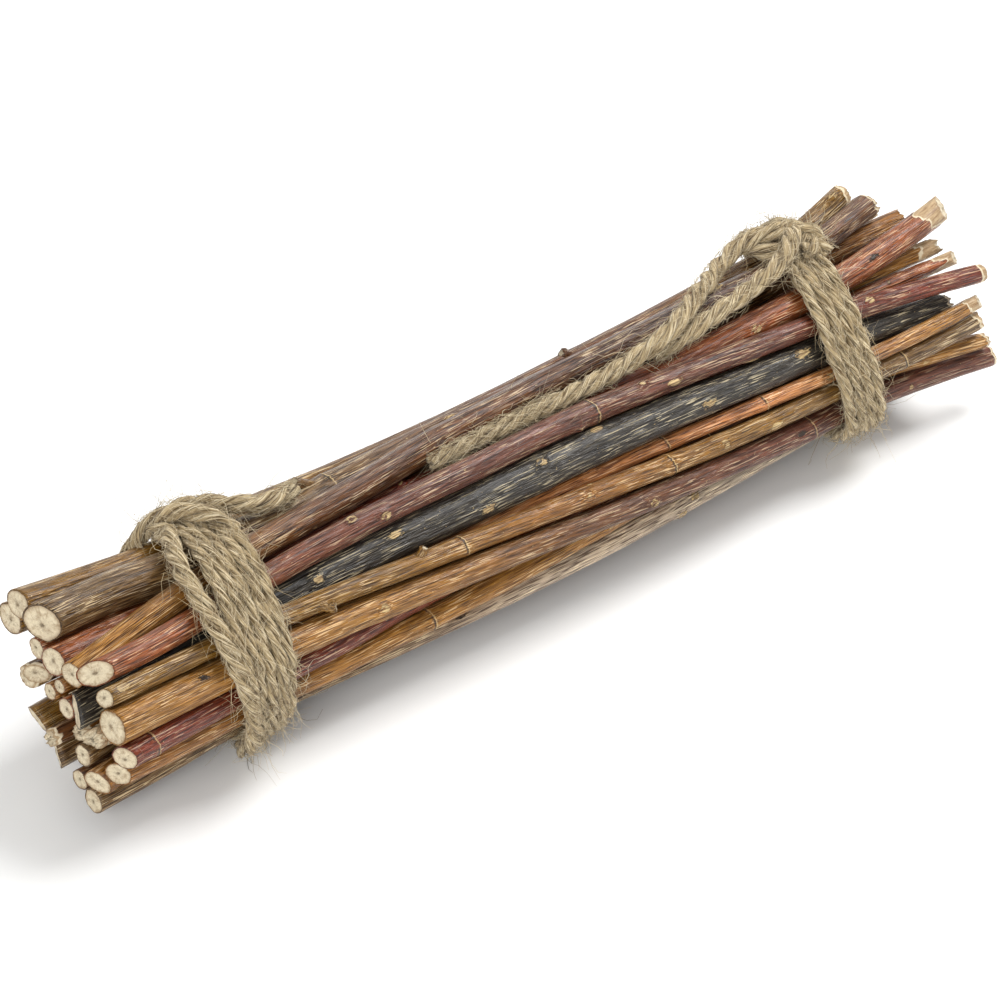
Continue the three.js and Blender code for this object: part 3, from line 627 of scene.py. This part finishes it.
# The cords that make each knot over its band
KNOTS = {
    "left": [
        [(-65.8, 20.6, -4.0), (-66.4, 20.4, 2.0), (-67.6, 18.2, 8.0), (-69.0, 14.4, 13.6),
         (-70.4, 9.4, 17.6), (-71.4, 4.0, 19.8), (-72.0, -1.6, 20.4), (-72.1, -6.5, 19.6),
         (-71.6, -11.0, 17.6), (-70.2, -14.8, 14.8), (-68.2, -17.4, 11.6), (-66.4, -18.6, 8.6),
         (-66.4, -19.9, 6.0)],
        [(-70.0, -17.5, 1.0), (-68.8, -20.2, 2.2), (-66.4, -21.6, 5.0), (-63.2, -21.4, 8.2),
         (-60.4, -19.4, 11.0), (-58.6, -16.6, 13.4), (-58.0, -13.6, 15.2)],
        [(-71.6, -17.6, -1.6), (-70.0, -19.2, 0.2), (-68.0, -20.6, 1.6), (-65.4, -21.5, 1.0),
         (-62.4, -21.4, -1.6), (-61.0, -19.6, -5.0)],
    ],
    "right": [
        [(79.0, -12.6, 16.4), (78.4, -15.6, 15.6), (77.4, -18.2, 15.2), (75.6, -19.8, 14.4),
         (73.6, -20.6, 13.4)],
        [(78.6, -21.4, 3.2), (77.6, -21.8, 7.2), (76.4, -20.6, 11.2), (75.0, -19.4, 14.6),
         (73.4, -18.6, 16.8), (71.6, -17.2, 17.6)],
        [(79.4, -17.4, 10.6), (76.0, -17.6, 14.6), (72.2, -16.6, 14.0), (69.4, -18.2, 12.0),
         (68.4, -20.8, 9.0), (70.6, -22.0, 5.4), (74.6, -21.8, 2.2), (77.6, -20.8, -1.6)],
        [(82.0, -18.6, 9.0), (80.6, -17.2, 12.8), (77.6, -15.4, 15.8), (74.2, -14.6, 17.0)],
    ],
}


def make_bands(material):
    for seed, (side, band) in enumerate(BANDS.items()):
        twine = Twine(50 + seed)
        twine.strand(band_points(band, twine.rng), BAND_CORD, fibres=4.2, wild=2.0)
        for points in KNOTS[side]:
            twine.strand(points, KNOT_CORD, fibres=6.0, wild=1.6)
        piece = twine.piece("twine_band_" + side, material)
        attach(piece, "root")
        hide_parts("twine_" + side)


# Twigs

def colour(red, green, blue):
    """A colour given as 0 to 255 on screen, as linear light."""
    c = np.array([red, green, blue]) / 255
    return np.where(c > 0.04045, ((c + 0.055) / 1.055) ** 2.4, c / 12.92)


TONES = {
    "grey": colour(112, 88, 56),
    # Painted sheen: the light grey on the next line stands in for the glossy grey sheen of twig_13, over
    # its grey bark
    "grey_sheen": colour(178, 164, 148),
    "tan": colour(138, 94, 42),
    "ochre": colour(152, 109, 50),
    "olive": colour(124, 92, 38),
    "brown": colour(98, 64, 38),
    "dark": colour(74, 50, 36),
    "rust": colour(134, 75, 38),
    "red": colour(110, 50, 32),
    "plum": colour(100, 60, 46),
    "slate": colour(52, 49, 45),
    "orange": colour(176, 118, 72),
}
# Bark tones from the left end to the right end of the twigs that show best
BARK_TONES = {
    "twig_01": ("grey", "grey", "brown", "brown", "tan"),
    "twig_02": ("olive", "olive", "brown", "brown", "olive"),
    "twig_03": ("olive", "olive", "dark", "dark", "olive"),
    "twig_04": ("rust", "red", "red", "rust", "rust"),
    "twig_05": ("ochre", "brown", "brown", "dark", "brown"),
    "twig_06": ("rust", "plum", "plum", "plum", "red"),
    "twig_07": ("slate", "slate", "slate", "slate", "slate"),
    "twig_08": ("olive", "olive", "tan", "olive", "grey"),
    "twig_09": ("orange", "orange", "orange", "orange", "ochre"),
    "twig_10": ("ochre", "ochre", "brown", "plum", "plum"),
    "twig_11": ("red", "red", "rust", "brown", "brown"),
    "twig_12": ("tan", "ochre", "ochre", "brown", "ochre"),
    # twig_13's light grey to the right is painted sheen over grey bark
    "twig_13": ("grey", "grey", "grey_sheen", "grey_sheen", "grey_sheen"),
    "twig_14": ("rust", "tan", "tan", "brown", "rust"),
    "twig_17": ("tan", "olive", "brown", "olive", "ochre"),
    "twig_18": ("rust", "rust", "dark", "red", "rust"),
    "twig_21": ("grey", "brown", "dark", "brown", "dark"),
    "twig_24": ("grey", "olive", "dark", "tan", "ochre"),
}
SLOT_TONES = {
    "bark_tan": ("tan", "ochre", "brown", "tan"), "bark_olive": ("olive", "brown", "olive", "olive"),
    "bark_red": ("rust", "red", "plum", "rust"), "bark_brown": ("brown", "dark", "brown", "brown"),
    "bark_grey": ("grey", "brown", "grey", "brown"), "bark_black": ("slate", "slate", "slate"),
}
# Marks on the bark: kind, place along, and side: -1 at the top edge as pictured, 1 at the bottom
MARKS = {
    "twig_01": [("ring", -32.6, -0.5), ("scar", 39.6, 0.17), ("scar", -4.0, -0.6), ("slit", 58.0, 0.2)],
    "twig_02": [("bud", 29.6, -0.2), ("knob", 95.0, -0.6), ("knob", 88.0, 0.4)],
    "twig_04": [("scar", 58.0, 0.3), ("slit", 88.0, -0.1)],
    "twig_05": [("scar", -12.0, 0.7), ("scar", 52.0, 0.5), ("bud", 34.0, 0.8)],
    "twig_06": [("scar", -37.6, -0.59), ("scar", -31.4, 0.3), ("bud", 28.1, -0.4),
                ("flake", 34.6, 0.4), ("bud", 12.6, 0.83), ("scar", 82.0, -0.3), ("bud", -62.0, -0.6)],
    "twig_07": [("scar", -47.4, 0.02), ("flake", -11.6, 0.56), ("flake", 16.1, -0.79),
                ("star", 64.1, -0.25), ("flake", 40.0, 0.4), ("scar", 2.0, -0.4), ("flake", -30.0, -0.3)],
    "twig_08": [("oval", -92.1, -0.26), ("ring", -19.1, 0.0), ("ring", 28.4, 0.35), ("ring", 79.9, 0.0),
                ("ring", 86.4, 0.0), ("bud", 8.6, 0.07), ("flake", 53.4, 0.6), ("scar", -60.0, 0.2),
                ("scar", 41.0, 0.3), ("ring", -70.0, 0.0)],
    "twig_09": [("ring", 52.9, 0.0), ("bud", 13.4, -0.75), ("scar", 68.0, 0.3), ("ring", 30.0, 0.0)],
    "twig_10": [("slit", -76.6, -0.29), ("scar", -38.6, 0.23), ("scar", 22.0, 0.5), ("slit", 60.0, 0.2)],
    "twig_12": [("ring", -27.1, 0.3), ("scar", 14.0, 0.2)],
    "twig_13": [("slit", -20.0, 0.1), ("scar", 36.0, 0.0), ("ring", 70.0, 0.0)],
}
# Half the length and half the width of each kind of mark but rings, in mm
MARK_SIZES = {"scar": (1.0, 0.7), "bud": (1.1, 0.8), "flake": (2.0, 0.75), "star": (2.2, 1.2),
              "oval": (1.6, 0.9), "slit": (1.5, 0.5), "knob": (1.8, 1.3), "speck": (0.8, 0.5)}
# How often each kind of mark turns up among the scattered ones
MARK_SHARES = {"scar": 0.18, "ring": 0.14, "bud": 0.10, "flake": 0.14, "slit": 0.08, "speck": 0.36}
# How ragged an end is and how far its bark is peeled back, in mm
CLEAN = (0.12, 0.0)
BROKEN = (0.9, 0.8)
LEFT_ENDS = {"twig_09": (1.4, 2.0), "twig_16": (0.3, 0.6), "twig_20": BROKEN, "twig_22": BROKEN,
             "twig_15": (0.4, 0.5)}
RIGHT_ENDS = {
    "twig_01": (0.7, 0.0), "twig_02": (1.1, 0.6), "twig_03": (1.6, 1.2), "twig_04": (0.5, 6.2),
    "twig_05": (1.3, 0.5), "twig_06": (0.2, 0.7), "twig_07": (1.6, 0.3), "twig_08": (0.5, 1.5),
    "twig_09": (0.4, 2.4), "twig_10": (0.5, 0.2), "twig_12": (0.8, 0.8), "twig_17": (2.6, 4.5),
    "twig_18": (0.5, 7.5),
}
# Short side shoots: the twig, where it leaves, where it ends (along, and from the twig's
# centre across and toward), and its radius
SHOOTS = [
    ("twig_01", -32.6, (-39.0, -4.0, 1.9), 1.15),
    ("twig_02", 31.6, (27.6, -2.5, 0.9), 0.95),
    ("twig_08", -51.6, (-48.0, 2.1, 1.9), 0.95),
    ("twig_08", -29.4, (-26.9, -1.8, 2.2), 0.8),
]
# The rings of vertices on a cut, as shares of the radius
CAP_RINGS = (0.985, 0.94, 0.90, 0.78, 0.62, 0.46, 0.33, 0.24, 0.19, 0.14, 0.09)
WOOD_FROM = 0.91  # share of the radius where the bark ends on a cut
NO_RING = 4.0  # distance from a ring, in mm, where there is none
FINE = (0.75, 38)  # step along and vertices round
COARSE = (1.2, 26)
HIDDEN = (2.4, 16)
IN_FRONT = range(1, 14)  # the numbers of the twigs that show best, and of those that hardly show
INSIDE = (27, 28, 34)


def mark_at(kind, x, side, radius, grid_x, grid_turn):
    """Height in mm over the twig's grid, and its fleck: to 1 for a flake, to -1 for a crack."""
    turn = math.acos(max(-1.0, min(1.0, side)))
    away = np.mod(grid_turn - turn + math.pi, 2 * math.pi) - math.pi
    dx, dy = grid_x - x, away * radius
    if kind == "ring":
        return 0.10 * np.exp(-(dx / 0.8) ** 2), np.zeros_like(dx)
    long, wide = MARK_SIZES[kind]
    d = np.hypot(dx / long, dy / wide)
    if kind == "scar":
        return 0.30 * np.exp(-((d - 0.9) / 0.45) ** 2), 0.85 * np.exp(-((d - 0.7) / 0.5) ** 2)
    if kind == "bud":
        return 0.6 * np.exp(-(d / 0.9) ** 2) * (1 + 0.6 * np.tanh(dx)), 0.8 * np.exp(-(d / 0.7) ** 2)
    if kind == "slit":
        lips = 0.16 * np.exp(-((d - 1.1) / 0.5) ** 2) - 0.2 * np.exp(-d ** 2)
        return lips, -1.05 * np.exp(-(d / 0.75) ** 2)
    if kind == "oval":
        return -0.15 * np.exp(-(d / 0.8) ** 4), 1.4 * np.exp(-(d / 0.9) ** 4)
    up = {"flake": 0.34, "star": 0.45, "knob": 0.75, "speck": 0.1}[kind]
    return up * np.exp(-d ** 2), {"knob": 0.55, "speck": 0.9}.get(kind, 1.0) * np.exp(-d ** 2)


def tone_along(name, slot, x, low, high):
    """The twig's colour at each x, where it runs from low to high."""
    names = BARK_TONES.get(name, SLOT_TONES[slot])
    tones = np.array([TONES[n] for n in names])
    share = np.clip((x - low) / (high - low), 0, 1)
    at = np.linspace(0.06, 0.94, len(names))
    return np.stack([np.interp(share, at, tones[:, k]) for k in range(3)], -1)


def shoot_mesh(twig, leaves, tip, radius, tint, rng):
    """A stub of a side shoot, as rings that narrow to a rough cut."""
    base = np.array([leaves, np.interp(leaves, twig["x"], twig["across"]),
                     np.interp(leaves, twig["x"], twig["toward"])])
    end = np.array([tip[0], base[1] + tip[1], base[2] + tip[2]])
    sides, parts = 14, 12
    path = np.linspace(base, end, parts)
    tangents, normals, across = frames_along(path)
    spin = np.arange(sides) * 2 * math.pi / sides
    u = np.linspace(0, 1, parts)
    wide = radius * (1.35 - 0.5 * u + 0.25 * np.exp(-((u - 0.9) / 0.12) ** 2))
    rough = 1 + 0.09 * rng.normal(0, 1, (parts, sides))
    reach = wide[:, None] * rough
    rings = (path[:, None] + normals[:, None] * (np.cos(spin) * reach)[..., None]
             + across[:, None] * (np.sin(spin) * reach)[..., None])
    rings[-1] += tangents[-1] * rng.uniform(-0.3, 0.3, (sides, 1))
    cap = path[-1] + (rings[-1] - path[-1]) * 0.5
    verts = np.vstack([rings.reshape(-1, 3), cap, path[-1:]])
    faces = tube_faces(parts + 1, sides, caps=False)
    last = parts * sides
    j = np.arange(sides)
    faces.append(np.stack([last + j, np.full(sides, last + sides), last + (j + 1) % sides], 1))
    wood = np.zeros(len(verts))
    wood[last:] = 1.0
    heart = np.full(len(verts), 0.5)
    heart[-1] = 0.0
    grain = np.vstack([
        np.stack([np.cos(spin)[None, :] * reach, np.sin(spin)[None, :] * reach,
                  np.repeat(u[:, None] * 8, sides, 1)], 2).reshape(-1, 3),
        verts[last:] - path[-1],
    ]) + rng.uniform(0, 40, 3)
    fleck = np.full(len(verts), 0.25)
    tints = np.repeat(np.append(tint, 1.0)[None], len(verts), 0)
    return verts, faces, {"wood": wood, "heart": heart, "grain": grain, "fleck": fleck, "tint": tints,
                          "pale": np.full(len(verts), 0.6), "ringed": np.full(len(verts), NO_RING),
                          "spoke": grain * 0.3}


def twig_mesh(name, slot, detail, rng):
    """Vertices, faces and attributes of one twig, from its solid's line and radii."""
    twig = TWIGS[name]
    step, sides = detail
    low, high = twig["x"][0], twig["x"][-1]
    x = np.linspace(low, high, int((high - low) / step) + 1)
    turn = np.arange(sides) * 2 * math.pi / sides
    across = smooth_through(twig["x"], twig["across"], x) + 0.09 * wander(x, 22, rng)
    toward = smooth_through(twig["x"], twig["toward"], x) + 0.09 * wander(x, 22, rng)
    radius = smooth_through(twig["x"], twig["radius"], x)
    radius = radius * (1 + 0.02 * wander(x, 11, rng))
    middle = float(np.median(radius))
    grid_x, grid_turn = np.meshgrid(x, turn, indexing="ij")

    # Ridges that run along the twig
    relief = np.zeros_like(grid_x)
    for k in range(3, sides // 3 + 1):
        phase = rng.uniform(0, 2 * math.pi) + 1.3 * wander(x, 16, rng) + x * rng.normal(0, 0.02)
        depth = (0.6 + 0.4 * wander(x, 9, rng))[:, None] / k ** 0.5
        relief += np.cos(k * turn[None, :] + phase[:, None]) * depth
    relief *= 0.045 * (middle / 2.4) / relief.std()
    oval = 0.025 * np.cos(2 * turn[None, :] + rng.uniform(0, 6) + 0.5 * wander(x, 40, rng)[:, None])
    height = relief + oval * middle
    fleck = np.zeros_like(grid_x)
    tint = np.repeat(tone_along(name, slot, x, low, high)[:, None, :], sides, 1)

    marks = list(MARKS.get(name, []))
    at = low + rng.uniform(5, 14)
    while at < high - 6:
        kind = rng.choice(list(MARK_SHARES), p=list(MARK_SHARES.values()))
        if name not in MARKS or kind == "speck" or rng.random() < 0.2:
            away = rng.uniform(0, 2 * math.pi)
            marks.append((kind, at, math.cos(away), away > math.pi))
        at += rng.uniform(6, 20)
    ringed = np.full_like(grid_x, NO_RING)
    for kind, place, side, *back in marks:
        up, shade = mark_at(kind, place, side, middle, grid_x,
                            2 * math.pi - grid_turn if back and back[0] else grid_turn)
        height += up * min(1.0, middle / 2.2)
        fleck = np.where(np.abs(shade) > np.abs(fleck), shade, fleck)
        if kind == "ring":
            from_ring = grid_x - place - 0.3 * np.cos(grid_turn)
            ringed = np.where(np.abs(from_ring) < np.abs(ringed), from_ring, ringed)
        if kind in ("ring", "scar", "bud"):
            height += 0.04 * middle * np.exp(-((grid_x - place) / 2.2) ** 2)

    # Ends: the cut's slope fades out over the first stretch, and a ragged end is splintered
    left_style = LEFT_ENDS.get(name, CLEAN)
    right_style = RIGHT_ENDS.get(name, BROKEN if rng.random() < 0.4 else CLEAN)
    wood = np.zeros_like(grid_x)
    shift = np.zeros_like(grid_x)
    caps = []
    fade_over = 7.0
    splinters_over = 3.0
    left, right = twig["cuts"]
    for edge, (rag, peel), cut, sign in ((low, left_style, left, 1), (high, right_style, right, -1)):
        from_end = (grid_x - edge) * sign
        fade = np.clip(1 - from_end / fade_over, 0, 1) ** 2
        # The solid's slope is per mm across its slightly larger section
        slope = (cut[0] * np.cos(turn) + cut[1] * np.sin(turn)) * radius[0 if sign > 0 else -1] * FULLNESS
        teeth = np.abs(sum(np.cos(k * turn + rng.uniform(0, 6)) / k ** 0.6 for k in (2, 3, 5, 8, 11)))
        teeth = teeth / teeth.max() * rag
        splinter = np.clip(1 - from_end / splinters_over, 0, 1)
        shift += fade * slope[None, :] + splinter * teeth[None, :] * sign
        if peel > 0:
            jags = sum(np.cos(k * turn + rng.uniform(0, 6)) / k for k in (1, 2, 4, 7))
            edge_line = peel * (1 + 0.45 * jags)
            bare = 1 / (1 + np.exp(np.clip((from_end - edge_line[None, :]) / 0.12, -30, 30)))
            wood = np.maximum(wood, 2.0 * bare)
            height -= 0.16 * bare
        caps.append((slope, teeth * sign, rag))
    reach = radius[:, None] + height
    body = np.stack([
        grid_x + shift, across[:, None] + reach * np.cos(turn), toward[:, None] + reach * np.sin(turn),
    ], 2)
    grain = np.stack([reach * np.cos(turn), reach * np.sin(turn), grid_x], 2)

    verts = [body.reshape(-1, 3)]
    faces = tube_faces(len(x), sides, caps=False)
    values = {"wood": [wood.ravel()], "heart": [np.full(wood.size, 0.6)], "grain": [grain.reshape(-1, 3)],
              "fleck": [fleck.ravel()], "tint": [tint.reshape(-1, 3)],
              "pale": [np.full(wood.size, 1.0)], "ringed": [ringed.ravel()],
              "spoke": [np.zeros((wood.size, 3))]}
    count = body.shape[0] * sides
    j = np.arange(sides)
    k = (j + 1) % sides
    for ring, centre_at, cap, sign in ((0, low, caps[0], 1), (len(x) - 1, high, caps[1], -1)):
        slope, teeth, rag = cap
        before = ring * sides
        centre = np.array([centre_at, across[ring], toward[ring]])
        edge = body[ring] - centre
        rough = rng.normal(0, 1, (len(CAP_RINGS), sides))
        aside = rng.uniform(-0.16, 0.16, 2) * radius[ring]
        rows = []
        for n, share in enumerate(CAP_RINGS):
            row = edge * share
            flat = slope * share
            torn = teeth * share ** 0.5 * (1 if n % 2 else 0.6) + rough[n] * (0.03 + 0.16 * rag) * sign
            row[:, 0] = flat + np.where(share > 0.95, teeth, torn)
            row[:, 1:] += aside * (1 - share) ** 0.7
            rows.append(centre + row)
        here = count
        for n, row in enumerate(rows):
            a, b = (before, here) if n == 0 else (here + (n - 1) * sides, here + n * sides)
            quad = [a + j, a + k, b + k, b + j]
            faces.append(np.stack(quad if sign > 0 else quad[::-1], 1))
        hub = here + len(rows) * sides
        last = hub - sides
        fan = [last + j, last + k, np.full(sides, hub)]
        faces.append(np.stack(fan if sign > 0 else fan[::-1], 1))
        middle_point = centre + np.array([teeth.mean() * 0.5 + 0.15 * sign, *aside])
        verts += rows + [middle_point[None]]
        shares = np.r_[np.repeat(CAP_RINGS, sides), 0.0]
        offset = np.vstack([row - centre for row in rows] + [np.zeros((1, 3))])
        values["wood"].append(np.where(shares < WOOD_FROM, 1.0, wood.reshape(len(x), sides)[ring].mean()))
        values["heart"].append(shares)
        values["grain"].append(np.stack([offset[:, 1], offset[:, 2], offset[:, 0] + centre_at], 1))
        values["fleck"].append(np.zeros(len(shares)))
        values["tint"].append(np.repeat(tint[ring, :1] * 0.8, len(shares), 0))
        values["pale"].append(np.zeros(len(shares)))
        values["ringed"].append(np.full(len(shares), NO_RING))
        spoke = np.stack([np.cos(turn), np.sin(turn), np.full(sides, rng.uniform(0, 9))], 1)
        spoke = np.vstack([spoke + (0, 0, 0.25 * share) for share in CAP_RINGS] + [np.zeros((1, 3))])
        values["spoke"].append(spoke)
        count += len(shares)
    seed_shift = rng.uniform(0, 80, 3)
    verts = np.vstack(verts)
    attributes = {key: (np.vstack(v) if v[0].ndim > 1 else np.concatenate(v)) for key, v in values.items()}
    attributes["grain"] = attributes["grain"] + seed_shift
    attributes["tint"] = np.c_[attributes["tint"], np.ones(len(verts))]
    for shoot_of, leaves, tip, wide in SHOOTS:
        if shoot_of != name:
            continue
        tone = tone_along(name, slot, np.array([leaves]), low, high)[0]
        more, more_faces, extra = shoot_mesh(twig, leaves, tip, wide, tone, rng)
        faces += [f + len(verts) for f in more_faces]
        verts = np.vstack([verts, more])
        for key in attributes:
            attributes[key] = np.concatenate([attributes[key], extra[key]])
    return verts, faces, attributes


def make_twigs():
    slots = {row["node"]: row["material_slot"] for row in frame["record"]["subparts"]}
    finish = {  # roughness, coat, strength of the painted highlight lines (partly the bark's own light lines) and of the painted shade in the furrow lines
        "bark_tan": (0.33, 0.10, 0.85, 0.75), "bark_olive": (0.31, 0.16, 0.95, 0.85),
        "bark_red": (0.28, 0.20, 0.90, 0.85), "bark_brown": (0.31, 0.14, 0.95, 0.95),
        "bark_grey": (0.33, 0.10, 1.0, 0.95), "bark_black": (0.28, 0.15, 1.0, 0.95),
    }
    materials = {slot: bark_material(slot, *look) for slot, look in finish.items()}
    for number, name in enumerate(TWIG_NAMES, 1):
        slot = slots[name]
        detail = FINE if number in IN_FRONT else HIDDEN if number in INSIDE else COARSE
        rng = np.random.default_rng(100 + number)
        verts, faces, attributes = twig_mesh(name, slot, detail, rng)
        verts = to_frame(verts)
        verts[:, 2] = np.maximum(verts[:, 2], FLOOR_GAP)
        piece = new_piece("bark_" + name, verts, faces, attributes, materials[slot])
        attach(piece, "root")
        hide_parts(name)


# Floor and light

def make_stage():
    world = bpy.data.worlds.new("studio")
    world.use_nodes = True
    back = world.node_tree.nodes["Background"]
    back.inputs[0].default_value = (1, 1, 1, 1)
    back.inputs[1].default_value = 0.55
    bpy.context.scene.world = world
    mesh = bpy.data.meshes.new("floor")
    size = 3.0
    corners = [(-size, -size, 0), (size, -size, 0), (size, size, 0), (-size, size, 0)]
    mesh.from_pydata(corners, [], [(0, 1, 2, 3)])
    floor = bpy.data.objects.new("floor", mesh)
    bpy.context.scene.collection.objects.link(floor)
    floor.location.z = -0.0001
    material, _, shader = new_material("floor")
    shader.inputs["Base Color"].default_value = (0.9, 0.9, 0.89, 1)
    shader.inputs["Roughness"].default_value = 0.8
    mesh.materials.append(material)
    lights = {  # place, size, power: all aimed at the bundle
        "key": ((0.40, -0.06, 0.72), 0.44, 6.5),
        "fill": ((-0.75, -0.50, 0.50), 0.5, 5.0),
        "back": ((0.3, 0.7, 0.55), 0.5, 1.0),
    }
    for name, (place, width, power) in lights.items():
        data = bpy.data.lights.new(name, "AREA")
        data.shape = "SQUARE"
        data.size = width
        data.energy = power
        light = bpy.data.objects.new(name, data)
        bpy.context.scene.collection.objects.link(light)
        light.location = place
        light.rotation_mode = "QUATERNION"
        light.rotation_quaternion = (-Vector(place)).to_track_quat("-Z", "Y")
    bpy.context.scene.view_settings.view_transform = "Standard"


make_camera()
jute = jute_material()
make_tails(jute)
make_bands(jute)
make_twigs()
make_stage()
